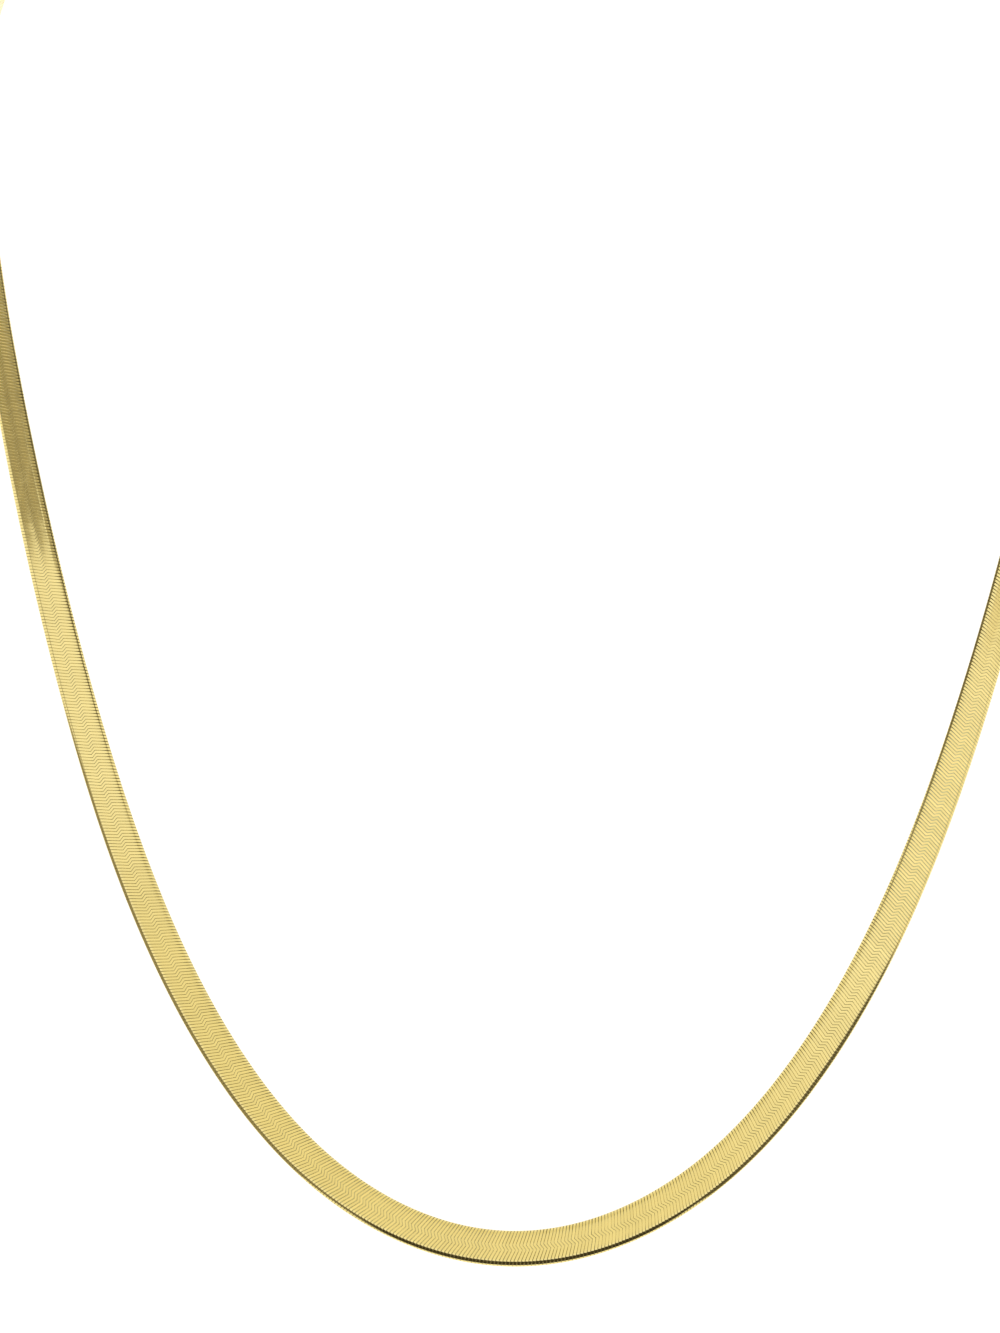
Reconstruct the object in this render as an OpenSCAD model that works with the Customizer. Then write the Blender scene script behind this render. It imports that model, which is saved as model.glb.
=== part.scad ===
/* [Band] */
// Whole length of the loop, closure included
chain_length = 508; // [457:1:560]
// Width of the flat band
band_w = 4; // [3.5:0.1:4.5]
// Thickness of the flat band
band_t = 0.75; // [0.7:0.05:0.9]
// Radius of the band's rounded rims
rim_r = 0.28; // [0.2:0.02:0.28]
// Height of the slight dome on each face
dome_h = 0.03; // [0.01:0.01:0.05]

/* [End caps] */
// Length of band gripped by a cap
grip_l = 3; // [2.5:0.1:3.5]
// Wall of the sleeve round the band
cap_wall = 0.25; // [0.2:0.05:0.35]
// Wall of the sleeve past the band's end
end_wall = 0.6; // [0.4:0.1:1]
// Length of the tab from the sleeve to the middle of its hole
tab_l = 1.5; // [1.4:0.1:2]

/* [Eyes of the caps and the clasp] */
// Outer radius of an eye
eye_r = 1.3; // [1.2:0.05:1.4]
// Radius of an eye's hole
hole_r = 0.7; // [0.65:0.05:0.8]
// Thickness of an eye
eye_t = 0.7; // [0.6:0.05:0.8]

/* [Jump rings] */
// Diameter of the ring wire
wire_d = 0.7; // [0.6:0.05:0.8]
// Radius of a ring to the middle of its wire
ring_r = 1.9; // [1.8:0.05:2.1]

/* [Clasp] */
// Whole length of the clasp
clasp_l = 10.4; // [10:0.2:12]
// Thickness of the clasp
clasp_t = 1.5; // [1.3:0.1:1.6]
// Outer radius of the claw
claw_r = 2.5; // [2.4:0.05:2.7]
// Radius of the claw's opening
opening_r = 1.3; // [1.2:0.05:1.4]
// Length between the opening's two round ends
opening_l = 1.3; // [1:0.1:1.6]
// Wall of the claw past its opening
tip_w = 1; // [0.9:0.05:1.1]
// Radius of the body where it meets the eye
waist_r = 1.35; // [1.2:0.05:1.5]
// Radius of the lever's thumb nub
nub_r = 0.7; // [0.6:0.05:0.8]

/* [Hidden] */
$fn = 48;

// Clearance between the band and a sleeve, and between a ring and the wall it pulls on
fit_gap = 0.08;
seat_gap = 0.15;
// Overshoot of a cut past the face that it leaves
cut = 0.1;
// Distance between the middle of the clasp's eye and the round end of its body
eye_reach = 2.2;
// Longest step between two sections of the band
band_step = 5;

// Half of the loop as control stations, from the nape to the lowest point in front. Left and
// right are as seen from the front. The columns are a station's distance to the side, back and
// up from the nape, and the lean of the band's face on the left arm and on the right arm, in
// degrees from upright (0) to facing up (90).
SIDE = 0;
BACK = 1;
UP = 2;
LEAN_LEFT = 3;
LEAN_RIGHT = 4;
stations = [
    [32, -2.5, -4, 14, 10],
    [60, -13, -21, 17, 13],
    [67.5, -28.5, -47.5, 35, 26],
    [62, -46.5, -77, 49, 42],
    [53, -68, -104.5, 60, 46],
    [41, -91, -127, 78, 63],
    [23.5, -110, -143.5, 62, 61],
    [0, -118, -149.5, 48, 48]
];
// The first control is set so that the curve passes through the origin at the nape
nape = [0, -stations[0][BACK] / 2, -stations[0][UP] / 2, 13];
left_arm = [for (row = stations) [-row[SIDE], row[BACK], row[UP], row[LEAN_LEFT]]];
right_arm = [
    for (k = [len(stations) - 2:-1:0])
        let (row = stations[k]) [row[SIDE], row[BACK], row[UP], row[LEAN_RIGHT]]
];
controls = concat([nape], left_arm, right_arm);
spans = len(controls);

// A smooth closed curve from the controls, with u counted in controls from the nape
function blend(u, w) = let (k = floor(u))
    w[0] * controls[(k - 1 + spans) % spans] + w[1] * controls[k % spans]
    + w[2] * controls[(k + 1) % spans] + w[3] * controls[(k + 2) % spans];
function curve(u) = let (f = u - floor(u))
    blend(u, [pow(1 - f, 3), 3 * pow(f, 3) - 6 * f * f + 4, 3 * (f + f * f - pow(f, 3)) + 1, pow(f, 3)]) / 6;
function heading(u) = let (f = u - floor(u))
    blend(u, [-pow(1 - f, 2), 3 * f * f - 4 * f, 1 + 2 * f - 3 * f * f, f * f]) / 2;
function place(row) = [row[0], row[1], row[2]];
function unit(v) = v / norm(v);

// Rows of length along the curve and u, and the scale that gives the loop its whole length
steps_per_span = 24;
steps = spans * steps_per_span;
function step_l(k) = norm(place(curve((k + 1) / steps_per_span)) - place(curve(k / steps_per_span)));
lengths = [for (k = 0, sum = 0; k <= steps; sum = sum + step_l(k), k = k + 1) [sum, k / steps_per_span]];
fit = chain_length / lengths[steps][0];

// Point and axes at the distance s from the nape, counted down the left arm. The axes run along
// the band, across it towards its upper rim, and out of its face.
function u_at(s) = lookup((s + chain_length) % chain_length / fit, lengths);
function point_at(s) = place(curve(u_at(s))) * fit;
function along_at(s) = unit(place(heading(u_at(s))));
function face_at(s) = let (
    along = along_at(s),
    side = unit([along[1], -along[0], 0]),
    lean = curve(u_at(s))[3]
) side * cos(lean) + cross(side, along) * sin(lean);
function across_at(s) = cross(face_at(s), along_at(s));

// Half of the band's section, across and out of its face, from its inner rim to its outer rim
rim_x = band_w / 2 - rim_r;
rim_z = band_t / 2 - dome_h - rim_r;
upper = [
    for (a = [0:45:90]) [rim_x + rim_r * cos(a), rim_z + rim_r * sin(a)],
    [0, band_t / 2],
    for (a = [90:45:180]) [-rim_x + rim_r * cos(a), rim_z + rim_r * sin(a)]
];
section = concat(upper, [for (q = upper) -q]);

// Where the wire of a ring lies: it pulls on a wall of thickness t, whose corners the ring's
// round inside must clear
wire_r = wire_d / 2;
ring_in = ring_r - wire_r;
function wire_off(t) = wire_r + seat_gap + ring_in - sqrt(pow(ring_in, 2) - pow(t / 2, 2));
hole_to_wire = hole_r - wire_off(eye_t);

// The clasp's own outline along the band, from its claw's tip to its eye
tip_x = -clasp_l / 2;
claw_x = tip_x + claw_r;
opening_x = tip_x + tip_w + opening_r;
eye_x = clasp_l / 2 - eye_r;
waist_x = eye_x - eye_reach;
taper = acos((claw_r - waist_r) / (waist_x - claw_x));
nub_x = waist_x - nub_r - waist_r;
nub_y = claw_r - nub_r;

// Distances from the nape to the rings, the caps' holes and the band's ends
left_ring = eye_x + hole_to_wire + ring_r;
right_ring = tip_x + tip_w + wire_off(clasp_t) - ring_r;
hole_to_end = tab_l + end_wall;
band_start = left_ring + ring_r + hole_to_wire + hole_to_end;
band_stop = chain_length + right_ring - ring_r - hole_to_wire - hole_to_end;
rings = ceil((band_stop - band_start) / band_step);

// A piece in the band's axes at the distance s
module on_band(s) {
    p = point_at(s);
    x = along_at(s);
    y = across_at(s);
    z = face_at(s);
    multmatrix([
        [x[0], y[0], z[0], p[0]],
        [x[1], y[1], z[1], p[1]],
        [x[2], y[2], z[2], p[2]],
        [0, 0, 0, 1]
    ])
        children();
}

// A flat bar along x from zero, its four long edges rounded
module bar(l, w, t, r) {
    translate([0, -w / 2, r - t / 2])
        cube([l, w, t - 2 * r]);
    translate([0, r - w / 2, -t / 2])
        cube([l, w - 2 * r, t]);
    for (y = [-1, 1], z = [-1, 1])
        translate([0, y * (w / 2 - r), z * (t / 2 - r)])
            rotate([0, 90, 0])
                cylinder(r = r, h = l);
}

// A round plate centred on the face
module plate(r, t) {
    translate([0, 0, -t / 2])
        cylinder(r = r, h = t);
}

// A cap about the middle of its grip, with x running to the clasp
module end_cap() {
    sleeve_w = band_w + 2 * (fit_gap + cap_wall);
    sleeve_t = band_t + 2 * (fit_gap + cap_wall);
    hole_x = grip_l / 2 + hole_to_end;
    difference() {
        union() {
            translate([-grip_l / 2, 0, 0])
                bar(grip_l + end_wall, sleeve_w, sleeve_t, rim_r + cap_wall);
            translate([0, 0, -eye_t / 2])
                linear_extrude(eye_t)
                    polygon([
                        [hole_x - tab_l - end_wall / 2, sleeve_w / 2 - cap_wall],
                        [hole_x - tab_l, sleeve_w / 2 - cap_wall],
                        [hole_x, eye_r],
                        [hole_x, -eye_r],
                        [hole_x - tab_l, cap_wall - sleeve_w / 2],
                        [hole_x - tab_l - end_wall / 2, cap_wall - sleeve_w / 2]
                    ]);
            translate([hole_x, 0, 0])
                plate(eye_r, eye_t);
        }
        translate([-grip_l / 2 - cut, 0, 0])
            bar(grip_l + cut + fit_gap, band_w + 2 * fit_gap, band_t + 2 * fit_gap, rim_r);
        translate([hole_x, 0, 0])
            plate(hole_r, eye_t + 2 * cut);
    }
}

// A round wire ring that lies in the plane along the band and out of its face
module jump_ring() {
    rotate([90, 0, 0])
        rotate_extrude($fn = 40)
            translate([ring_r, 0])
                circle(r = wire_r, $fn = 20);
}

module herringbone_band() {
    n = len(section);
    points = [
        for (k = [0:rings])
            let (
                s = band_start + (band_stop - band_start) * k / rings,
                p = point_at(s),
                across = across_at(s),
                face = face_at(s)
            )
            for (q = section) p + across * q[0] + face * q[1]
    ];
    start = [for (j = [2:n - 1]) [0, j - 1, j]];
    stop = [for (j = [2:n - 1]) [0, j, j - 1] + [1, 1, 1] * rings * n];
    sides = [
        for (k = [0:rings - 1], j = [0:n - 1])
            let (a = k * n + j, b = k * n + (j + 1) % n)
            each [[a, a + n, b], [b, a + n, b + n]]
    ];
    color("gold")
        polyhedron(points, concat(start, sides, stop));
}

module end_cap_left() {
    color("gold")
        on_band(band_start + grip_l / 2)
            rotate([0, 0, 180])
                end_cap();
}

module end_cap_right() {
    color("gold")
        on_band(band_stop - grip_l / 2)
            end_cap();
}

module jump_ring_left() {
    color("gold")
        on_band(left_ring)
            jump_ring();
}

module jump_ring_right() {
    color("gold")
        on_band(right_ring)
            jump_ring();
}

module lobster_clasp() {
    color("gold")
        on_band(0)
            difference() {
                union() {
                    translate([claw_x, 0, 0])
                        plate(claw_r, clasp_t);
                    translate([waist_x, 0, 0])
                        plate(waist_r, clasp_t);
                    translate([0, 0, -clasp_t / 2])
                        linear_extrude(clasp_t)
                            polygon([
                                for (side = [-1, 1], end = side < 0 ? [0, 1] : [1, 0])
                                    let (x = end ? waist_x : claw_x, r = end ? waist_r : claw_r)
                                    [x + r * cos(taper), side * r * sin(taper)]
                            ]);
                    translate([nub_x, nub_y, 0])
                        plate(nub_r, clasp_t);
                    translate([waist_x, -waist_r / 2, -eye_t / 2])
                        cube([eye_reach, waist_r, eye_t]);
                    translate([eye_x, 0, 0])
                        plate(eye_r, eye_t);
                }
                translate([eye_x, 0, 0])
                    plate(hole_r, eye_t + 2 * cut);
                for (x = [opening_x, opening_x + opening_l])
                    translate([x, 0, 0])
                        plate(opening_r, clasp_t + 2 * cut);
                translate([opening_x, -opening_r, -clasp_t / 2 - cut])
                    cube([opening_l, 2 * opening_r, clasp_t + 2 * cut]);
            }
}

herringbone_band();
end_cap_left();
end_cap_right();
jump_ring_left();
jump_ring_right();
lobster_clasp();
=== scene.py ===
"""A flat herringbone chain necklace in its worn form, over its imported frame."""

import math

import bmesh
import bpy
import numpy as np
from bpy.props import (
    FloatProperty,
    FloatVectorProperty,
    IntProperty,
    PointerProperty,
)
from mathutils import Matrix, Vector


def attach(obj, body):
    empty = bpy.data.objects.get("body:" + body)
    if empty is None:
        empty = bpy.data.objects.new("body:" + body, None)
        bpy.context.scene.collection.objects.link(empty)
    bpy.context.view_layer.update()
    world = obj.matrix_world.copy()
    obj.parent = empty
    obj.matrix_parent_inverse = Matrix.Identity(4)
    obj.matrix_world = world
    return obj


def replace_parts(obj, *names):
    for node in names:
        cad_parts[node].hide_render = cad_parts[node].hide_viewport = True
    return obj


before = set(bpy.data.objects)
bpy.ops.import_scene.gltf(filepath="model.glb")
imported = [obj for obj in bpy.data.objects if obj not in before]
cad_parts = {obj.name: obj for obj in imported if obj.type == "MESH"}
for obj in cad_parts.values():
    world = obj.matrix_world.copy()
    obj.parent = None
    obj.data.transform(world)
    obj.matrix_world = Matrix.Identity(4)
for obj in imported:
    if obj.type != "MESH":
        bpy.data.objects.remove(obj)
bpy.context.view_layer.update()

bl_info = {
    "name": "Herringbone Necklace",
    "version": (1, 0, 0),
    "blender": (4, 5, 0),
    "location": "View3D > Sidebar > Necklace",
    "description": "Builds a flat herringbone chain link by link, with its closure and stage",
    "category": "Add Mesh",
}

MM = 0.001

# Half of the loop as control stations, from the nape to the lowest point in front. The columns
# are a station's distance to the side, back and up from the nape in millimetres, and the lean of
# the band's face on the left arm and on the right arm in degrees.
SIDE, BACK, UP, LEAN_LEFT, LEAN_RIGHT = range(5)
STATIONS = (
    (32, -2.5, -4, 14, 10),
    (60, -13, -21, 17, 13),
    (67.5, -28.5, -47.5, 35, 26),
    (62, -46.5, -77, 49, 42),
    (53, -68, -104.5, 60, 46),
    (41, -91, -127, 78, 63),
    (23.5, -110, -143.5, 62, 61),
    (0, -118, -149.5, 48, 48),
)
NAPE_LEAN = 13
STEPS_PER_SPAN = 24

# How far a link runs ahead along the band, from the outer rim to the inner rim. The columns are
# the distance across and the lead, both in millimetres.
LEAD = (
    (-2.0, -0.50),
    (-1.6, -0.40),
    (-1.1, -0.19),
    (-0.6, 0.04),
    (-0.25, 0.19),
    (0.25, -0.19),
    (0.6, -0.05),
    (1.1, 0.15),
    (1.6, 0.34),
    (2.0, 0.48),
)

# How strongly the shade painted into the grooves shows across the band. The columns are the
# distance from the middle in millimetres and the share of the full painted shade.
GROOVE_SHADE = ((0, 0.6), (0.35, 0.5), (0.7, 0.2), (1.0, 0.25), (1.45, 1), (2, 1))

# How much wider a groove, with the shade painted in it, is towards the inner rim. The columns are
# the distance across in millimetres and the width as a share of the groove's own.
GROOVE_FLARE = ((1.2, 1), (1.5, 1.4), (1.8, 1.9), (2, 1.9))

# The band's stretches by name and where each one ends, as a share of the links
STRETCHES = (
    ("band_left_back", 0.2),
    ("band_left_side", 0.4),
    ("band_front", 0.6),
    ("band_right_side", 0.8),
    ("band_right_back", 1.0),
)


class BandSettings(bpy.types.PropertyGroup):
    loop_l: FloatProperty(
        name="Loop length",
        description="Whole length of the loop, closure included",
        default=508 * MM,
        unit="LENGTH",
    )
    width: FloatProperty(
        name="Width", description="Width of the band", default=4 * MM, unit="LENGTH"
    )
    thickness: FloatProperty(
        name="Thickness",
        description="Thickness of the band",
        default=0.75 * MM,
        unit="LENGTH",
    )
    rim_w: FloatProperty(
        name="Rim width",
        description="How far the rounding of a rim reaches in across the band",
        default=0.6 * MM,
        unit="LENGTH",
    )
    rim_h: FloatProperty(
        name="Rim height",
        description="How far the rounding of a rim reaches down from the face",
        default=0.33 * MM,
        unit="LENGTH",
    )
    dome_h: FloatProperty(
        name="Dome",
        description="Height of the slight dome on each face",
        default=0.006 * MM,
        unit="LENGTH",
    )
    pitch: FloatProperty(
        name="Link pitch",
        description="Distance from one link to the next along the band",
        default=0.39 * MM,
        unit="LENGTH",
    )
    groove_w: FloatProperty(
        name="Groove width",
        description="Width of the groove between two links",
        default=0.08 * MM,
        unit="LENGTH",
    )
    groove_h: FloatProperty(
        name="Groove depth",
        description="Depth of the groove between two links",
        default=0.04 * MM,
        unit="LENGTH",
    )
    seam_h: FloatProperty(
        name="Seam",
        description="Depth of the seam down the middle of the band",
        default=0.005 * MM,
        unit="LENGTH",
    )
    unevenness: FloatProperty(
        name="Unevenness",
        description="How much single links tilt at most",
        default=math.radians(0.1),
        subtype="ANGLE",
    )
    seed: IntProperty(name="Seed", description="Seed of the links' unevenness", default=7)
    colour: FloatVectorProperty(
        name="Gold",
        description="Colour of the polished gold",
        default=(0.93, 0.765, 0.315),
        subtype="COLOR",
        size=3,
    )
    # Painted shade: this colour is mixed into the gold in the grooves to stand in for the shade
    # between the links
    groove_shade_colour: FloatVectorProperty(
        name="Groove gold",
        description="Colour of the gold in the grooves",
        default=(0.17, 0.12, 0.04),
        subtype="COLOR",
        size=3,
    )


class ClosureSettings(bpy.types.PropertyGroup):
    grip_l: FloatProperty(
        name="Grip",
        description="Length of band gripped by a cap",
        default=3 * MM,
        unit="LENGTH",
    )
    cap_wall: FloatProperty(
        name="Cap wall",
        description="Wall of the sleeve round the band",
        default=0.25 * MM,
        unit="LENGTH",
    )
    end_wall: FloatProperty(
        name="End wall",
        description="Wall of the sleeve past the band's end",
        default=0.6 * MM,
        unit="LENGTH",
    )
    tab_l: FloatProperty(
        name="Tab length",
        description="From the sleeve to the middle of the tab's hole",
        default=1.5 * MM,
        unit="LENGTH",
    )
    eye_r: FloatProperty(
        name="Eye radius", description="Outer radius of an eye", default=1.3 * MM, unit="LENGTH"
    )
    hole_r: FloatProperty(
        name="Hole radius",
        description="Radius of an eye's hole",
        default=0.7 * MM,
        unit="LENGTH",
    )
    eye_t: FloatProperty(
        name="Eye thickness",
        description="Thickness of an eye",
        default=0.7 * MM,
        unit="LENGTH",
    )
    wire_d: FloatProperty(
        name="Wire", description="Diameter of the ring wire", default=0.7 * MM, unit="LENGTH"
    )
    ring_r: FloatProperty(
        name="Ring radius",
        description="Radius of a jump ring to the middle of its wire",
        default=1.9 * MM,
        unit="LENGTH",
    )
    clasp_l: FloatProperty(
        name="Clasp length",
        description="Whole length of the clasp",
        default=10.4 * MM,
        unit="LENGTH",
    )
    clasp_t: FloatProperty(
        name="Clasp thickness",
        description="Thickness of the clasp",
        default=1.5 * MM,
        unit="LENGTH",
    )
    claw_r: FloatProperty(
        name="Claw radius",
        description="Outer radius of the claw",
        default=2.5 * MM,
        unit="LENGTH",
    )
    opening_r: FloatProperty(
        name="Opening radius",
        description="Radius of the claw's opening",
        default=1.3 * MM,
        unit="LENGTH",
    )
    opening_l: FloatProperty(
        name="Opening length",
        description="Length between the opening's two round ends",
        default=1.3 * MM,
        unit="LENGTH",
    )
    tip_w: FloatProperty(
        name="Tip", description="Wall of the claw past its opening", default=1 * MM, unit="LENGTH"
    )
    waist_r: FloatProperty(
        name="Waist radius",
        description="Radius of the body where it meets the eye",
        default=1.35 * MM,
        unit="LENGTH",
    )
    nub_r: FloatProperty(
        name="Nub radius",
        description="Radius of the lever's thumb nub",
        default=0.7 * MM,
        unit="LENGTH",
    )


class StageSettings(bpy.types.PropertyGroup):
    sky: FloatProperty(
        name="Studio light", description="Strength of the soft light all round", default=1.02
    )
    top_colour: FloatVectorProperty(
        name="Overhead light",
        description="Colour of the light overhead, against white at the sides",
        default=(0.86, 0.82, 0.64),
        subtype="COLOR",
        size=3,
    )
    floor_glow: FloatProperty(
        name="Floor light", description="Light of the floor's own, like a light table", default=0.28
    )
    floor_drop: FloatProperty(
        name="Floor drop",
        description="How far the floor lies below the nape",
        default=0.36,
        unit="LENGTH",
    )
    distance: FloatProperty(
        name="Camera distance",
        description="From the camera to the point that it looks at",
        default=0.397,
        unit="LENGTH",
    )
    azimuth: FloatProperty(
        name="Camera azimuth",
        description="Turn of the camera to the right of the front",
        default=math.radians(3.5),
        subtype="ANGLE",
    )
    elevation: FloatProperty(
        name="Camera elevation",
        description="Angle by which the camera looks down",
        default=math.radians(30),
        subtype="ANGLE",
    )
    roll: FloatProperty(
        name="Camera roll",
        description="Turn of the camera about its view",
        default=math.radians(-1.4),
        subtype="ANGLE",
    )
    lens: FloatProperty(name="Lens", description="Focal length in millimetres", default=89.6)
    aim: FloatVectorProperty(
        name="Aim",
        description="The point that the camera looks at",
        default=(-3.2 * MM, -57.9 * MM, -106.1 * MM),
        unit="LENGTH",
        size=3,
    )


class Loop:
    """The worn loop, as points and axes at distances from the nape, first down the left arm.

    It is a closed cubic B-spline through the controls, with u counted in controls.
    """

    def __init__(self, length):
        rows = np.array(STATIONS, float)
        nape = [[0, -rows[0, BACK] / 2, -rows[0, UP] / 2, NAPE_LEAN]]
        left = rows[:, [SIDE, BACK, UP, LEAN_LEFT]] * (-1, 1, 1, 1)
        right = rows[-2::-1, [SIDE, BACK, UP, LEAN_RIGHT]]
        self.controls = np.vstack([nape, left, right])
        self.u = np.arange(len(self.controls) * STEPS_PER_SPAN + 1) / STEPS_PER_SPAN
        places = self.curve(self.u)[:, :3]
        steps = np.linalg.norm(np.diff(places, axis=0), axis=1)
        self.s = np.concatenate([[0], np.cumsum(steps)])
        self.length = length
        self.fit = length / self.s[-1]

    def blend(self, u, weights):
        k = np.floor(u).astype(int)[:, None] + np.arange(-1, 3)
        return np.einsum("nk,nkc->nc", weights, self.controls[k % len(self.controls)])

    def curve(self, u):
        f = u - np.floor(u)
        rise = 3 * (f + f**2 - f**3) + 1
        return self.blend(u, np.stack([(1 - f) ** 3, 3 * f**3 - 6 * f**2 + 4, rise, f**3], 1)) / 6

    def heading(self, u):
        f = u - np.floor(u)
        return self.blend(
            u, np.stack([-((1 - f) ** 2), 3 * f**2 - 4 * f, 1 + 2 * f - 3 * f**2, f**2], 1)
        )

    def axes(self, s):
        """Points, and the unit axes along the band, across it and out of its face."""
        u = np.interp(np.mod(s, self.length) / self.fit, self.s, self.u)
        rows = self.curve(u)
        along = unit(self.heading(u)[:, :3])
        side = unit(np.stack([along[:, 1], -along[:, 0], 0 * u], 1))
        lean = np.radians(rows[:, 3:])
        face = side * np.cos(lean) + np.cross(side, along) * np.sin(lean)
        return rows[:, :3] * self.fit, along, np.cross(face, along), face

    def bend(self, flat):
        """Lays flat points, as distance along, across and out of the face, on the loop."""
        place, _, across, face = self.axes(flat[:, 0])
        return place + across * flat[:, 1:2] + face * flat[:, 2:3]

    def seat(self, s, turn=0):
        """The matrix of a rigid piece at a distance from the nape, turned about its face."""
        place, along, across, face = (Vector(v[0]) for v in self.axes(np.array([s])))
        pose = Matrix((along, across, face)).transposed().to_4x4()
        pose.translation = place
        return pose @ Matrix.Rotation(turn, 4, "Z")


def unit(v):
    return v / np.linalg.norm(v, axis=1)[:, None]


# Fits of the closure that the frame's solids have: between a ring and the wall it pulls on, and
# between the middle of the clasp's eye and the round end of its body
SEAT_GAP = 0.15 * MM
FIT_GAP = 0.08 * MM
EYE_REACH = 2.2 * MM


class Plan:
    """Where the closure's pieces and the band's ends lie, from the settings."""

    def __init__(self, band, closure):
        c = closure
        self.loop = Loop(band.loop_l)
        self.wire_r = c.wire_d / 2
        hole_to_wire = c.hole_r - self.wire_off(c, c.eye_t)
        self.tip_x = -c.clasp_l / 2
        self.claw_x = self.tip_x + c.claw_r
        self.opening_x = self.tip_x + c.tip_w + c.opening_r
        self.eye_x = c.clasp_l / 2 - c.eye_r
        self.waist_x = self.eye_x - EYE_REACH
        self.left_ring = self.eye_x + hole_to_wire + c.ring_r
        self.right_ring = self.tip_x + c.tip_w + self.wire_off(c, c.clasp_t) - c.ring_r
        hole_to_end = c.tab_l + c.end_wall
        self.band_start = self.left_ring + c.ring_r + hole_to_wire + hole_to_end
        self.band_stop = band.loop_l + self.right_ring - c.ring_r - hole_to_wire - hole_to_end

    def wire_off(self, c, wall_t):
        """How far the middle of a ring's wire stands off a wall that the ring pulls on."""
        ring_in = c.ring_r - c.wire_d / 2
        return c.wire_d / 2 + SEAT_GAP + ring_in - math.sqrt(ring_in**2 - (wall_t / 2) ** 2)


# How much a large flat face outweighs a small rounded one in the shading where they meet
FLAT_WEIGHT = 90
# Edges between faces that turn by more than this are sharp, and get rounded
SHARP = math.radians(60)
# A bevel's profile at which its section is a round arc
ROUND = 0.5


def put_in_order(bm):
    """Sorts a bmesh by place, as bevel and spin list its elements in another order each run."""
    for items in (bm.verts, bm.edges, bm.faces):
        places = {}
        for item in items:
            corners = getattr(item, "verts", [item])
            middle = sum((v.co for v in corners), Vector()) / len(corners)
            places[item] = [round(c / TINY) for c in middle]
        ranks = {item: k for k, item in enumerate(sorted(items, key=places.get))}
        items.sort(key=ranks.get)


def finish_piece(bm, name, material, pose):
    """Turns a bmesh into a piece of the necklace that sits at the origin."""
    bmesh.ops.recalc_face_normals(bm, faces=bm.faces)
    bmesh.ops.transform(bm, matrix=pose, verts=bm.verts)
    for face in bm.faces:
        face.smooth = True
    put_in_order(bm)
    mesh = bpy.data.meshes.new(name)
    bm.to_mesh(mesh)
    bm.free()
    piece = add_piece(mesh, name, material)
    flats = piece.modifiers.new("flats", "WEIGHTED_NORMAL")
    flats.weight = FLAT_WEIGHT
    return piece


def add_piece(mesh, name, material):
    mesh.materials.append(material)
    piece = bpy.data.objects.new(name, mesh)
    bpy.context.scene.collection.objects.link(piece)
    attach(piece, "root")
    return piece


# Steps across a link's flat, round each of its four corners, and over the edge of a groove
FLAT_STEPS = 12
CORNER_STEPS = 4
GROOVE_STEPS = 3
# A narrow strip beside each rim keeps the rim's shading off the flat
RIM_STRIP = 0.05 * MM


def link_outline(band):
    """Distances across the band, from rim to rim, with the half thickness at each."""
    flat = band.width / 2 - band.rim_w
    top = band.thickness / 2 - band.dome_h - band.rim_h
    turns = np.radians(np.linspace(0, 90, CORNER_STEPS + 1))
    corner = flat + band.rim_w * np.cos(turns[:-1]), top + band.rim_h * np.sin(turns[:-1])
    y = np.linspace(flat - RIM_STRIP, RIM_STRIP - flat, FLAT_STEPS - 1)
    y = np.concatenate([[flat], y, [-flat]])
    dome = band.dome_h * (1 - (y / flat) ** 2) - band.seam_h * np.exp(-((y / band.pitch) ** 2))
    across = np.concatenate([corner[0], y, -corner[0][::-1]])
    height = np.concatenate([corner[1], top + band.rim_h + dome, corner[1][::-1]])
    return across, height


# Points closer than this are taken as one
TINY = 0.001 * MM
# How strong the painted shade in the groove beside a link is at least, and by how much that varies
# on average
GROOVE_SHADE_LEAST = 0.75
GROOVE_SHADE_SPREAD = 0.25


def flat_link(band):
    """One link, straight and centred: the section extruded, its edges rounded while stretched."""
    across, height = link_outline(band)
    count = len(across) - 1
    bm = bmesh.new()
    bmesh.ops.create_grid(bm, x_segments=count, y_segments=1, size=1)
    stretch = band.groove_h / (band.groove_w / 2)
    half_l = band.pitch / 2 * stretch
    for vert in bm.verts:
        k = round((vert.co.x + 1) / 2 * count)
        vert.co = (-half_l, across[k], math.copysign(height[k], vert.co.y))
    wall = bmesh.ops.extrude_face_region(bm, geom=bm.faces[:])["geom"]
    far = [item for item in wall if isinstance(item, bmesh.types.BMVert)]
    bmesh.ops.translate(bm, verts=far, vec=(2 * half_l, 0, 0))
    bmesh.ops.recalc_face_normals(bm, faces=bm.faces)
    bm.normal_update()
    rims = [e for e in bm.edges if e.calc_face_angle(0) > SHARP and
            abs(e.verts[0].co.x - e.verts[1].co.x) < half_l]
    bmesh.ops.bevel(bm, geom=rims, offset=band.groove_h, offset_type="OFFSET",
                    segments=GROOVE_STEPS, profile=ROUND, affect="EDGES", material=-1)
    bmesh.ops.scale(bm, vec=(1 / stretch, 1, 1), verts=bm.verts)
    flat_l = (band.pitch - band.groove_w) / 2
    for edge in bm.edges:
        middle_x = (edge.verts[0].co.x + edge.verts[1].co.x) / 2
        edge.smooth = abs(abs(middle_x) - flat_l) > TINY
    return bm


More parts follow.
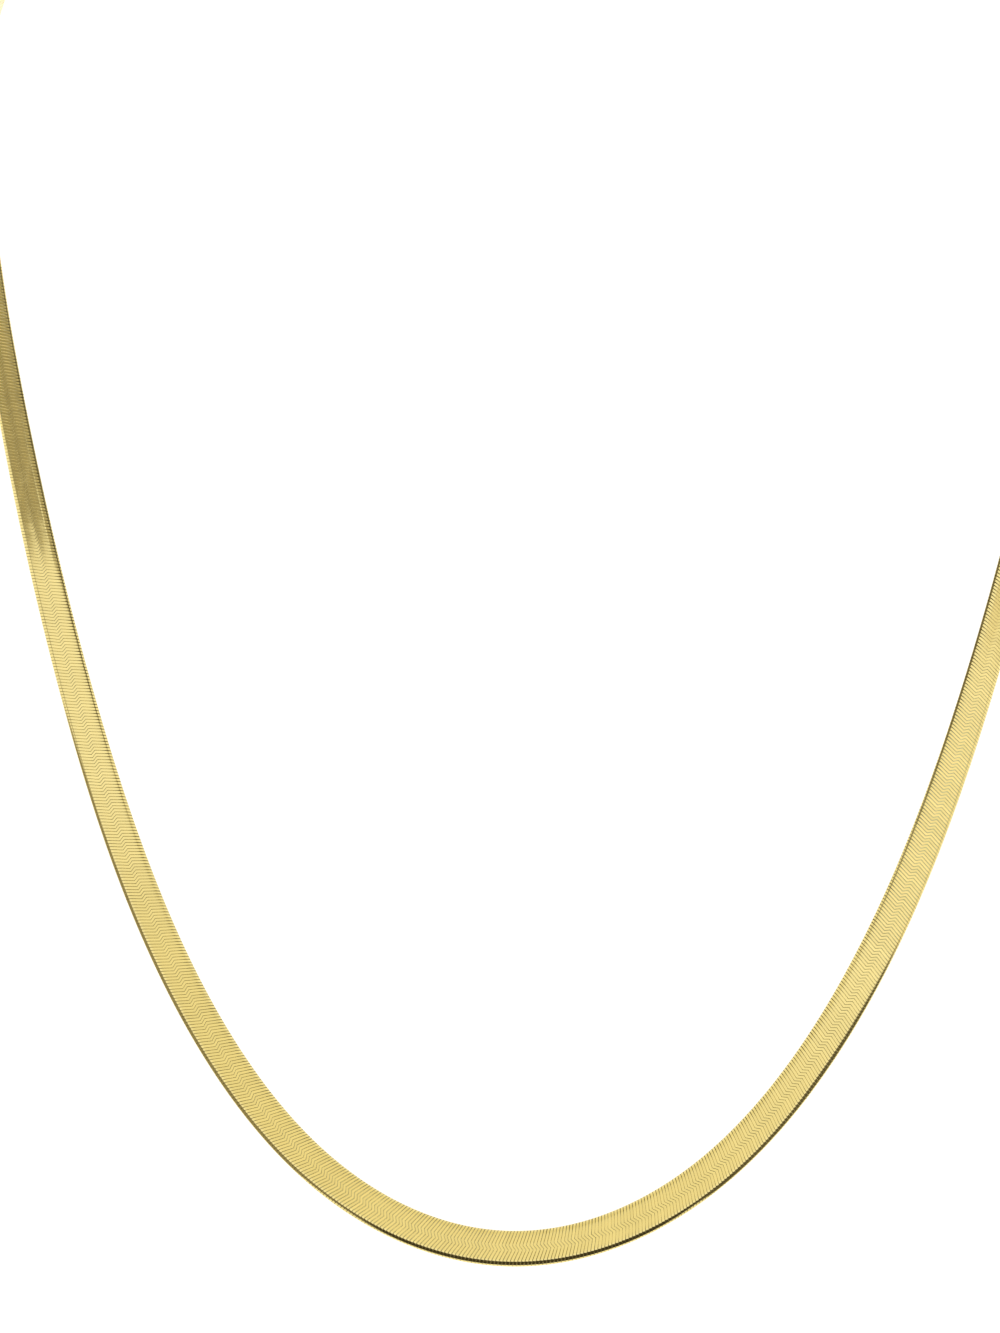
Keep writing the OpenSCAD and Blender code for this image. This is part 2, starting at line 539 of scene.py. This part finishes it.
def make_band(band, plan, material):
    """Every link of the band, laid along the loop in stretches."""
    bm = flat_link(band)
    one = bpy.data.meshes.new("link")
    bm.to_mesh(one)
    bm.free()
    link = bpy.data.objects.new("link", one)
    bpy.context.scene.collection.objects.link(link)
    array = link.modifiers.new("row", "ARRAY")
    array.use_relative_offset = False
    array.use_constant_offset = True
    links = round((plan.band_stop - plan.band_start) / band.pitch)
    pitch = (plan.band_stop - plan.band_start) / links
    array.constant_offset_displace = (pitch, 0, 0)
    size = len(one.vertices)
    flat = np.zeros(size * 3)
    one.vertices.foreach_get("co", flat)
    flat = flat.reshape(-1, 3)
    # The groove mask: 1 at a link's end down to 0 where its flat starts, times the strength of the
    # painted groove shade across the band
    gap = band.pitch / 2 - np.abs(flat[:, 0])
    edge = np.clip(1 - gap / (band.groove_w / 2), 0, 1)
    edge *= np.interp(np.abs(flat[:, 1]) / MM, *zip(*GROOVE_SHADE))
    flare = np.interp(flat[:, 1] / MM, *zip(*GROOVE_FLARE))
    flat[:, 0] -= np.sign(flat[:, 0]) * gap * (flare - 1)
    lead = np.interp(flat[:, 1] / MM, *zip(*LEAD)) * MM
    random = np.random.default_rng(band.seed)
    tilt = random.uniform(-1, 1, links) * math.tan(band.unevenness)
    tone = random.normal(0, 1, links)
    groove_shade_scale = GROOVE_SHADE_LEAST + GROOVE_SHADE_SPREAD * random.exponential(1, links)
    first = 0
    for name, share in STRETCHES:
        last = round(links * share)
        array.count = last - first
        shown = link.evaluated_get(bpy.context.evaluated_depsgraph_get())
        mesh = bpy.data.meshes.new_from_object(shown)
        mesh.name = name
        which = np.repeat(np.arange(first, last), size)
        place = np.tile(flat, (last - first, 1))
        place[:, 2] += np.tile(flat[:, 0], last - first) * tilt[which]
        place[:, 0] += np.tile(lead, last - first)
        place[:, 0] += plan.band_start + (which + 0.5) * pitch
        mesh.vertices.foreach_set("co", plan.loop.bend(place).ravel())
        # The groove mask, with its painted shade varied at random from link to link, and each
        # link's random tone
        for label, values in (
            ("groove", np.tile(edge, last - first) * groove_shade_scale[which]),
            ("tone", tone[which]),
        ):
            layer = mesh.attributes.new(label, "FLOAT", "POINT")
            layer.data.foreach_set("value", values.astype(np.float32))
        mesh.shade_smooth()
        mesh.update()
        piece = add_piece(mesh, name, material)
        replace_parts(piece, "herringbone_band")
        first = last
    bpy.data.objects.remove(link)
    bpy.data.meshes.remove(one)


def arc(x, y, r, start, stop, steps):
    """Points of an arc, its ends included, with the angles in degrees."""
    return [
        (x + r * math.cos(a), y + r * math.sin(a))
        for a in np.radians(np.linspace(start, stop, steps + 1))
    ]


def chain_edges(bm, verts):
    return [bm.edges.new(pair) for pair in zip(verts, verts[1:])]


def add_plate(bm, halves, thickness, round_r):
    """A plate with rounded edges, from the upper halves of its outline and of its hole if any."""
    ends, sides = [], ([], [])
    for half in halves:
        last = len(half) - 1
        upper = [bm.verts.new((x, y, -thickness / 2)) for x, y in half]
        lower = [bm.verts.new((x, -y, -thickness / 2)) for x, y in half[1:last]]
        ends.append((upper[0], upper[last]))
        sides[0].extend(chain_edges(bm, upper))
        sides[1].extend(chain_edges(bm, [upper[0], *lower, upper[last]]))
    if len(halves) == 1:
        rings = [sides[0] + sides[1]]
    else:
        joints = [bm.edges.new(pair) for pair in zip(*ends)]
        rings = [side + joints for side in sides]
    faces = [bmesh.ops.edgeloop_fill(bm, edges=ring)["faces"][0] for ring in rings]
    base = {v for face in faces for v in face.verts}
    grown = bmesh.ops.extrude_face_region(bm, geom=faces)["geom"]
    top = {item for item in grown if isinstance(item, bmesh.types.BMVert)}
    bmesh.ops.translate(bm, verts=list(top), vec=(0, 0, thickness))
    rims = {
        e
        for level in (base, top)
        for v in level
        for e in v.link_edges
        if level.issuperset(e.verts) and e.calc_face_angle(0) > SHARP
    }
    bmesh.ops.bevel(bm, geom=list(rims), offset=round_r, offset_type="OFFSET",
                    segments=PLATE_STEPS, profile=ROUND, affect="EDGES", material=-1)


# Steps of a quarter turn of an outline, and round a ring's wire
ARC_STEPS = 24
WIRE_STEPS = 20
# Steps over the rounded edges of a plate, of a sleeve's long sides and of its closed end
PLATE_STEPS = 4
SLEEVE_STEPS = 5
END_STEPS = 3
# Rounding of the closure's edges
EDGE_R = 0.12 * MM
CLASP_EDGE_R = 0.35 * MM
# The clasp's neck and nub are this share of the thickness of what they grow from
SUNK = 0.86


def make_caps(band, closure, plan, material):
    """A sleeve open towards the band, with a tab and its eye, at each end."""
    c = closure
    sleeve_w = band.width + 2 * (FIT_GAP + c.cap_wall)
    sleeve_t = band.thickness + 2 * (FIT_GAP + c.cap_wall)
    sleeve_l = c.grip_l + c.end_wall
    shoulder_x = c.grip_l / 2 + c.end_wall
    hole_x = shoulder_x + c.tab_l
    for node, s, turn in (
        ("end_cap_left", plan.band_start + c.grip_l / 2, math.pi),
        ("end_cap_right", plan.band_stop - c.grip_l / 2, 0),
    ):
        bm = bmesh.new()
        middle = Matrix.Translation((c.end_wall / 2, 0, 0))
        size = Matrix.Diagonal((sleeve_l, sleeve_w, sleeve_t, 1))
        bmesh.ops.create_cube(bm, size=1, matrix=middle @ size)
        long_edges = [e for e in bm.edges if abs(e.verts[0].co.x - e.verts[1].co.x) > EDGE_R]
        bmesh.ops.bevel(bm, geom=long_edges, offset=band.rim_h + c.cap_wall,
                        offset_type="OFFSET", segments=SLEEVE_STEPS, profile=ROUND,
                        affect="EDGES", material=-1)
        mouth = min(bm.faces, key=lambda f: f.calc_center_median().x)
        back = max(bm.faces, key=lambda f: f.calc_center_median().x)
        bmesh.ops.inset_region(bm, faces=[mouth], thickness=c.cap_wall)
        bmesh.ops.inset_region(bm, faces=[mouth], depth=-c.grip_l)
        bmesh.ops.bevel(bm, geom=back.edges, offset=EDGE_R, offset_type="OFFSET",
                        segments=END_STEPS, profile=ROUND, affect="EDGES", material=-1)
        root_x = shoulder_x - c.end_wall / 2
        half_w = sleeve_w / 2 - c.cap_wall
        outer = arc(hole_x, 0, c.eye_r, 0, 90, ARC_STEPS)
        outer += [(shoulder_x, half_w), (root_x, half_w), (root_x, 0)]
        hole = arc(hole_x, 0, c.hole_r, 0, 180, ARC_STEPS)
        add_plate(bm, (outer, hole), c.eye_t, EDGE_R)
        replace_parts(finish_piece(bm, node + "_shape", material, plan.loop.seat(s, turn)), node)


def make_rings(closure, plan, material):
    """Round wire rings that stand across the face."""
    for node, s in (
        ("jump_ring_left", plan.left_ring),
        ("jump_ring_right", plan.right_ring),
    ):
        bm = bmesh.new()
        place = Matrix.Translation((closure.ring_r, 0, 0))
        wire = bmesh.ops.create_circle(
            bm, segments=WIRE_STEPS, radius=plan.wire_r, matrix=place
        )
        edges = {e for v in wire["verts"] for e in v.link_edges}
        bmesh.ops.spin(bm, geom=wire["verts"] + list(edges), cent=(0, 0, 0), axis=(0, 1, 0),
                       angle=math.tau, steps=3 * ARC_STEPS, use_merge=True)
        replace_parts(finish_piece(bm, node + "_wire", material, plan.loop.seat(s)), node)


def make_clasp(closure, plan, material):
    """The claw with its opening, the eye, the neck between them and the lever's nub."""
    c = closure
    bm = bmesh.new()
    taper = math.degrees(math.acos((c.claw_r - c.waist_r) / (plan.waist_x - plan.claw_x)))
    body = arc(plan.waist_x, 0, c.waist_r, 0, taper, ARC_STEPS)
    body += arc(plan.claw_x, 0, c.claw_r, taper, 180, 2 * ARC_STEPS)
    opening = arc(plan.opening_x + c.opening_l, 0, c.opening_r, 0, 90, ARC_STEPS)
    opening += arc(plan.opening_x, 0, c.opening_r, 90, 180, ARC_STEPS)
    add_plate(bm, (body, opening), c.clasp_t, CLASP_EDGE_R)
    eye = arc(plan.eye_x, 0, c.eye_r, 0, 180, 2 * ARC_STEPS)
    hole = arc(plan.eye_x, 0, c.hole_r, 0, 180, 2 * ARC_STEPS)
    add_plate(bm, (eye, hole), c.eye_t, EDGE_R)
    neck_x = plan.eye_x - (c.eye_r + c.hole_r) / 2
    neck = [(neck_x, 0), (neck_x, c.waist_r / 2), (plan.waist_x, c.waist_r / 2)]
    add_plate(bm, (neck + [(plan.waist_x, 0)],), SUNK * c.eye_t, EDGE_R)
    before = set(bm.verts)
    nub_x = plan.waist_x - c.nub_r - c.waist_r
    add_plate(bm, (arc(0, 0, c.nub_r, 0, 180, ARC_STEPS),), SUNK * c.clasp_t, 2 * EDGE_R)
    nub = [v for v in bm.verts if v not in before]
    bmesh.ops.translate(bm, verts=nub, vec=(nub_x, c.claw_r - c.nub_r, 0))
    piece = finish_piece(bm, "clasp_body", material, plan.loop.seat(0))
    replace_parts(piece, "lobster_clasp")


def new_group(name, inputs, outputs):
    """A shader group with its sockets, and its input and output nodes."""
    group = bpy.data.node_groups.new(name, "ShaderNodeTree")
    for direction, sockets in (("INPUT", inputs), ("OUTPUT", outputs)):
        for label, kind in sockets:
            group.interface.new_socket(label, in_out=direction, socket_type=kind)
    start = group.nodes.new("NodeGroupInput")
    stop = group.nodes.new("NodeGroupOutput")
    return group, start, stop


def add_node(tree, kind, **values):
    """A node whose keywords are its own settings, or the defaults of its inputs by name."""
    node = tree.nodes.new(kind)
    for key, value in values.items():
        if hasattr(node, key):
            setattr(node, key, value)
        else:
            node.inputs[key.replace("_", " ")].default_value = value
    return node


# The scratches of the polish: how many fit in a metre, how fine they break up, how deep they are
# and how strongly they show
SCRATCH_SCALE = 2400.0
SCRATCH_DETAIL = 3.0
SCRATCH_H = 0.002 * MM
SCRATCH_STRENGTH = 0.3


def polish_group():
    """Fine scratches of polished metal, as a bump normal."""
    group, start, stop = new_group(
        "Polish",
        [("Vector", "NodeSocketVector"), ("Strength", "NodeSocketFloat")],
        [("Normal", "NodeSocketVector")],
    )
    link = group.links.new
    noise = add_node(group, "ShaderNodeTexNoise", Scale=SCRATCH_SCALE, Detail=SCRATCH_DETAIL)
    link(start.outputs["Vector"], noise.inputs["Vector"])
    bump = add_node(group, "ShaderNodeBump", Distance=SCRATCH_H)
    link(start.outputs["Strength"], bump.inputs["Strength"])
    link(noise.outputs["Fac"], bump.inputs["Height"])
    link(bump.outputs["Normal"], stop.inputs["Normal"])
    return group


# Roughness of the gold on the band, the caps, the rings and clasp, and in a groove
BAND_ROUGHNESS = 0.08
CAP_ROUGHNESS = 0.18
WIRE_ROUGHNESS = 0.15
GROOVE_ROUGHNESS = 0.55
# The values of the mesh's groove mask between which the painted groove shade sets in
GROOVE_FROM, GROOVE_TO = 0.1, 0.8
# How much the gold's brightness varies from link to link
TONE_SPREAD = 0.02


def gold_material(name, colour, roughness, groove_shade_colour=None):
    """Polished gold, with shade painted into the grooves where the mesh has them."""
    material = bpy.data.materials.new(name)
    material.use_nodes = True
    tree = material.node_tree
    link = tree.links.new
    shader = tree.nodes["Principled BSDF"]
    shader.inputs["Metallic"].default_value = 1
    shader.inputs["Roughness"].default_value = roughness
    shader.inputs["Base Color"].default_value = (*colour, 1)
    place = tree.nodes.new("ShaderNodeTexCoord")
    polish = tree.nodes.new("ShaderNodeGroup")
    polish.node_tree = bpy.data.node_groups.get("Polish") or polish_group()
    polish.inputs["Strength"].default_value = SCRATCH_STRENGTH
    link(place.outputs["Object"], polish.inputs["Vector"])
    link(polish.outputs["Normal"], shader.inputs["Normal"])
    if groove_shade_colour:
        # Painted shade: the mesh's groove mask, eased in as depth, mixes the groove shade colour
        # into the gold and raises its roughness
        groove = add_node(tree, "ShaderNodeAttribute", attribute_name="groove")
        tone = add_node(tree, "ShaderNodeAttribute", attribute_name="tone")
        depth = add_node(tree, "ShaderNodeMapRange", interpolation_type="SMOOTHSTEP")
        mix = add_node(tree, "ShaderNodeMix", data_type="RGBA")
        mix.inputs["A"].default_value = (*colour, 1)
        mix.inputs["B"].default_value = (*groove_shade_colour, 1)
        depth.inputs["From Min"].default_value = GROOVE_FROM
        depth.inputs["From Max"].default_value = GROOVE_TO
        link(groove.outputs["Fac"], depth.inputs["Value"])
        grain = add_node(tree, "ShaderNodeMapRange")
        grain.inputs["To Min"].default_value = roughness
        grain.inputs["To Max"].default_value = GROOVE_ROUGHNESS
        link(depth.outputs["Result"], grain.inputs["Value"])
        link(grain.outputs["Result"], shader.inputs["Roughness"])
        link(depth.outputs["Result"], mix.inputs["Factor"])
        shade = add_node(tree, "ShaderNodeHueSaturation")
        value = add_node(tree, "ShaderNodeMath", operation="MULTIPLY_ADD")
        value.inputs[1].default_value = TONE_SPREAD
        value.inputs[2].default_value = 1
        link(tone.outputs["Fac"], value.inputs[0])
        link(value.outputs[0], shade.inputs["Value"])
        link(mix.outputs["Result"], shade.inputs["Color"])
        link(shade.outputs["Color"], shader.inputs["Base Color"])
    return material


# The floor's colour, roughness and half width
FLOOR_COLOUR = (0.9, 0.9, 0.9, 1)
FLOOR_ROUGHNESS = 0.9
FLOOR_HALF = 6


def floor_material(glow):
    """Matt pale grey with a light of its own."""
    material = bpy.data.materials.new("floor")
    material.use_nodes = True
    shader = material.node_tree.nodes["Principled BSDF"]
    shader.inputs["Base Color"].default_value = FLOOR_COLOUR
    shader.inputs["Roughness"].default_value = FLOOR_ROUGHNESS
    shader.inputs["Emission Color"].default_value = FLOOR_COLOUR
    shader.inputs["Emission Strength"].default_value = glow
    return material


# The camera's sensor in millimetres, and the distances in metres between which it sees
SENSOR_W = 36
NEAR, FAR = 0.01, 20


def make_camera(stage):
    camera = bpy.data.cameras.new("camera")
    camera.lens = stage.lens
    camera.sensor_width = SENSOR_W
    camera.clip_start = NEAR
    camera.clip_end = FAR
    a, e, r = stage.azimuth, stage.elevation, stage.roll
    ahead = Vector((-math.sin(a) * math.cos(e), math.cos(a) * math.cos(e), -math.sin(e)))
    right = Vector((math.cos(a), math.sin(a), 0))
    up = right.cross(ahead)
    right, up = right * math.cos(r) + up * math.sin(r), up * math.cos(r) - right * math.sin(r)
    pose = Matrix((right, up, -ahead)).transposed().to_4x4()
    pose.translation = Vector(stage.aim) - ahead * stage.distance
    holder = bpy.data.objects.new("camera", camera)
    holder.matrix_world = pose
    bpy.context.scene.collection.objects.link(holder)
    bpy.context.scene.camera = holder


# The height of a direction at which the light turns to the overhead light's colour, and at which
# it has turned
TOP_FROM, TOP_TO = 0.75, 1.0


def make_world(stage):
    """Soft light all round, white at the sides and a little dimmer and warmer overhead."""
    world = bpy.data.worlds.new("studio")
    world.use_nodes = True
    tree = world.node_tree
    link = tree.links.new
    place = tree.nodes.new("ShaderNodeTexCoord")
    parts = tree.nodes.new("ShaderNodeSeparateXYZ")
    rise = add_node(tree, "ShaderNodeMapRange", interpolation_type="SMOOTHSTEP")
    rise.inputs["From Min"].default_value = TOP_FROM
    rise.inputs["From Max"].default_value = TOP_TO
    mix = add_node(tree, "ShaderNodeMix", data_type="RGBA")
    mix.inputs["A"].default_value = (1, 1, 1, 1)
    mix.inputs["B"].default_value = (*stage.top_colour, 1)
    link(place.outputs["Generated"], parts.inputs["Vector"])
    link(parts.outputs["Z"], rise.inputs["Value"])
    link(rise.outputs["Result"], mix.inputs["Factor"])
    shade = tree.nodes["Background"]
    link(mix.outputs["Result"], shade.inputs["Color"])
    shade.inputs["Strength"].default_value = stage.sky
    bpy.context.scene.world = world


# Studio boards that only reflections see, and only from their front. A board's direction is the
# one it is seen in from the necklace, as azimuth to the right of the front and elevation.

# The boards near the left arm stand before one wall, which this direction and place give. The
# columns are where a corner of the board is, to the right, up and off the wall in millimetres,
# whether the board lies to the right (1) or left (-1) of it and above (1) or below (-1) it, its
# turn about it in degrees, its width and height in millimetres, its luminance, and the share of
# its width and of its height over which its edges fade.
WALL_AZ, WALL_EL = -50, 28
WALL_PLACE = (-0.16, -0.12, 0)
NEAR_BOARDS = {
    "left_board": ((-2.5, -33, 0), (1, 1), -18, (95, 60), 0.37, (0.02, 0.02)),
    "left_middle_board": ((-15.5, -20.1, 0), (1, 1), -11, (70, 50), 0.37, (0.02, 0.02)),
    "left_upper_board": ((-18, -19.5, 0), (-1, 1), -41, (87, 40), 0.37, (0.03, 0.04)),
    "left_strip": ((-34, -24.3, 0), (1, -1), -2, (42, 10), 0.37, (0.04, 0.06)),
    "left_rim_card": ((-30, -17, 60), (-1, 1), -42, (94, 18), 0.48, (0.02, 0.08)),
}

# The columns are the place of a board's middle in metres, its direction, its turn in its own
# plane, its width and height, its luminance, and its fades.
X, Y, Z, AZ, EL, ROLL, WIDE, HIGH, SHADE, FADE_W, FADE_H = range(11)
BOARDS = {
    "right_board": (0.545, -0.411, 0.0, 53, 0, 0, 0.28, 0.34, 0.8, 0.15, 0.25),
    "front_board": (0.0, -1.0, 0.18, 0, 0, 0, 1.36, 1.28, 0.05, 0.12, 0.08),
    "low_board": (0.03, -0.785, -0.355, 0, -90, 0, 1.5, 0.47, 0.01, 0.1, 0.1),
    "left_card": (-0.12, -0.2, -0.075, -90, 0, -42, 0.3, 0.13, 0.3, 0.06, 0.06),
    "right_card": (0.12, -0.218, -0.082, 90, 0, 50, 0.28, 0.12, 0.12, 0.1, 0.1),
    "left_inner_card": (-0.04, -0.07, 0.004, 90, 0, 0, 0.07, 0.18, 0.2, 0.1, 0.04),
    "right_inner_card": (0.035, -0.076, -0.01, -90, 0, 0, 0.072, 0.19, 0.2, 0.1, 0.04),
}
BOARD_TINT = (1.0, 0.92, 0.72, 1.0)
# The middle of a board's UV map, which is also half its side
MIDDLE = 0.5


def board_material(name, shade, fades):
    """An even grey that fades out towards the board's edges."""
    material = bpy.data.materials.new(name)
    material.use_nodes = True
    tree = material.node_tree
    tree.nodes.clear()
    link = tree.links.new
    place = tree.nodes.new("ShaderNodeTexCoord")
    parts = tree.nodes.new("ShaderNodeSeparateXYZ")
    link(place.outputs["UV"], parts.inputs["Vector"])
    masks = []
    for axis, fade in zip("XY", fades):
        off = add_node(tree, "ShaderNodeMath", operation="SUBTRACT")
        off.inputs[1].default_value = MIDDLE
        size = add_node(tree, "ShaderNodeMath", operation="ABSOLUTE")
        mask = add_node(tree, "ShaderNodeMapRange", interpolation_type="SMOOTHSTEP")
        mask.inputs["From Min"].default_value = MIDDLE
        mask.inputs["From Max"].default_value = MIDDLE - fade
        link(parts.outputs[axis], off.inputs[0])
        link(off.outputs[0], size.inputs[0])
        link(size.outputs[0], mask.inputs["Value"])
        masks.append(mask.outputs["Result"])
    behind = tree.nodes.new("ShaderNodeNewGeometry")
    ahead = add_node(tree, "ShaderNodeMath", operation="SUBTRACT")
    ahead.inputs[0].default_value = 1
    link(behind.outputs["Backfacing"], ahead.inputs[1])
    shown = ahead.outputs[0]
    for mask in masks:
        both = add_node(tree, "ShaderNodeMath", operation="MULTIPLY")
        link(shown, both.inputs[0])
        link(mask, both.inputs[1])
        shown = both.outputs[0]
    clear = tree.nodes.new("ShaderNodeBsdfTransparent")
    glow = add_node(tree, "ShaderNodeEmission", Color=BOARD_TINT, Strength=shade)
    mix = tree.nodes.new("ShaderNodeMixShader")
    link(shown, mix.inputs["Fac"])
    link(clear.outputs["BSDF"], mix.inputs[1])
    link(glow.outputs["Emission"], mix.inputs[2])
    out = tree.nodes.new("ShaderNodeOutputMaterial")
    link(mix.outputs["Shader"], out.inputs["Surface"])
    return material


def facing(place, az, el):
    """The pose of a board at a place, with its front turned back along its direction."""
    az, el = math.radians(az), math.radians(el)
    way = Vector((math.sin(az) * math.cos(el), -math.cos(az) * math.cos(el), math.sin(el)))
    return Matrix.Translation(place) @ (-way).to_track_quat("Z", "Y").to_matrix().to_4x4()


def add_board(name, pose, size, shade, fades):
    """A one-sided studio board that the camera doesn't see."""
    bm = bmesh.new()
    bmesh.ops.create_grid(bm, x_segments=1, y_segments=1, size=MIDDLE)
    layer = bm.loops.layers.uv.verify()
    for face in bm.faces:
        for loop in face.loops:
            loop[layer].uv = loop.vert.co.xy + Vector((MIDDLE, MIDDLE))
    bmesh.ops.transform(bm, matrix=pose @ Matrix.Diagonal((*size, 1, 1)), verts=bm.verts)
    mesh = bpy.data.meshes.new(name)
    bm.to_mesh(mesh)
    bm.free()
    mesh.materials.append(board_material(name, shade, fades))
    board = bpy.data.objects.new(name, mesh)
    board.visible_camera = False
    board.visible_diffuse = False
    bpy.context.scene.collection.objects.link(board)


def make_boards():
    """The near boards, laid out from their corners, and the others, from their middles."""
    wall = facing(WALL_PLACE, WALL_AZ, WALL_EL)
    for name, (corner, sides, turn, size, shade, fades) in NEAR_BOARDS.items():
        size = [length * MM for length in size]
        middle = (sides[0] * size[0] / 2, sides[1] * size[1] / 2, 0)
        pose = wall @ Matrix.Translation(Vector(corner) * MM)
        pose = pose @ Matrix.Rotation(math.radians(turn), 4, "Z") @ Matrix.Translation(middle)
        add_board(name, pose, size, shade, fades)
    for name, row in BOARDS.items():
        pose = facing(row[X:Z + 1], row[AZ], row[EL])
        pose = pose @ Matrix.Rotation(math.radians(row[ROLL]), 4, "Z")
        add_board(name, pose, row[WIDE:HIGH + 1], row[SHADE], row[FADE_W:FADE_H + 1])


def make_stage(stage):
    """The floor, the light, the boards and the camera."""
    bm = bmesh.new()
    bmesh.ops.create_grid(bm, x_segments=1, y_segments=1, size=FLOOR_HALF)
    bmesh.ops.translate(bm, verts=bm.verts, vec=(0, 0, -stage.floor_drop))
    mesh = bpy.data.meshes.new("floor")
    bm.to_mesh(mesh)
    bm.free()
    mesh.materials.append(floor_material(stage.floor_glow))
    floor = bpy.data.objects.new("floor", mesh)
    bpy.context.scene.collection.objects.link(floor)
    make_world(stage)
    make_boards()
    make_camera(stage)
    bpy.context.scene.view_settings.view_transform = "Standard"


class NecklaceOperator:
    """What the necklace's operators share: their settings and the plan made from them."""

    bl_options = {"REGISTER", "UNDO"}

    def start(self, context):
        scene = context.scene
        self.band, self.closure = scene.necklace_band, scene.necklace_closure
        self.plan = Plan(self.band, self.closure)


class NECKLACE_OT_band(NecklaceOperator, bpy.types.Operator):
    """Lays the band's links along the worn loop"""

    bl_idname = "necklace.band"
    bl_label = "Herringbone Band"

    def execute(self, context):
        self.start(context)
        band = self.band
        gold = gold_material("band_gold", band.colour, BAND_ROUGHNESS, band.groove_shade_colour)
        make_band(band, self.plan, gold)
        return {"FINISHED"}


class NECKLACE_OT_caps(NecklaceOperator, bpy.types.Operator):
    """Puts a crimped cap on each end of the band"""

    bl_idname = "necklace.caps"
    bl_label = "End Caps"

    def execute(self, context):
        self.start(context)
        gold = gold_material("cap_gold", self.band.colour, CAP_ROUGHNESS)
        make_caps(self.band, self.closure, self.plan, gold)
        return {"FINISHED"}


class NECKLACE_OT_rings(NecklaceOperator, bpy.types.Operator):
    """Puts a jump ring through each cap's eye"""

    bl_idname = "necklace.rings"
    bl_label = "Jump Rings"

    def execute(self, context):
        self.start(context)
        gold = gold_material("ring_gold", self.band.colour, WIRE_ROUGHNESS)
        make_rings(self.closure, self.plan, gold)
        return {"FINISHED"}


class NECKLACE_OT_clasp(NecklaceOperator, bpy.types.Operator):
    """Makes the clasp at the nape"""

    bl_idname = "necklace.clasp"
    bl_label = "Lobster Clasp"

    def execute(self, context):
        self.start(context)
        gold = gold_material("clasp_gold", self.band.colour, WIRE_ROUGHNESS)
        make_clasp(self.closure, self.plan, gold)
        return {"FINISHED"}


class NECKLACE_OT_stage(bpy.types.Operator):
    """Sets the pale floor, the soft light and the camera"""

    bl_idname = "necklace.stage"
    bl_label = "Stage"

    def execute(self, context):
        make_stage(context.scene.necklace_stage)
        return {"FINISHED"}


OPERATORS = (
    NECKLACE_OT_band,
    NECKLACE_OT_caps,
    NECKLACE_OT_rings,
    NECKLACE_OT_clasp,
    NECKLACE_OT_stage,
)
SETTINGS = (
    ("necklace_band", BandSettings),
    ("necklace_closure", ClosureSettings),
    ("necklace_stage", StageSettings),
)


class NECKLACE_PT_panel(bpy.types.Panel):
    """The necklace's pieces and settings"""

    bl_idname = "NECKLACE_PT_panel"
    bl_label = "Herringbone Necklace"
    bl_space_type = "VIEW_3D"
    bl_region_type = "UI"
    bl_category = "Necklace"

    def draw(self, context):
        for operator in OPERATORS:
            self.layout.operator(operator.bl_idname)
        for name, group in SETTINGS:
            box = self.layout.box()
            for setting in group.__annotations__:
                box.prop(getattr(context.scene, name), setting)


def register():
    for cls in (*(group for _, group in SETTINGS), *OPERATORS, NECKLACE_PT_panel):
        bpy.utils.register_class(cls)
    for name, group in SETTINGS:
        setattr(bpy.types.Scene, name, PointerProperty(type=group))


def unregister():
    for name, _ in SETTINGS:
        delattr(bpy.types.Scene, name)
    for cls in (NECKLACE_PT_panel, *OPERATORS, *(group for _, group in SETTINGS)):
        bpy.utils.unregister_class(cls)


def main():
    register()
    bpy.ops.necklace.band()
    bpy.ops.necklace.caps()
    bpy.ops.necklace.rings()
    bpy.ops.necklace.clasp()
    bpy.ops.necklace.stage()


if __name__ == "__main__":
    main()
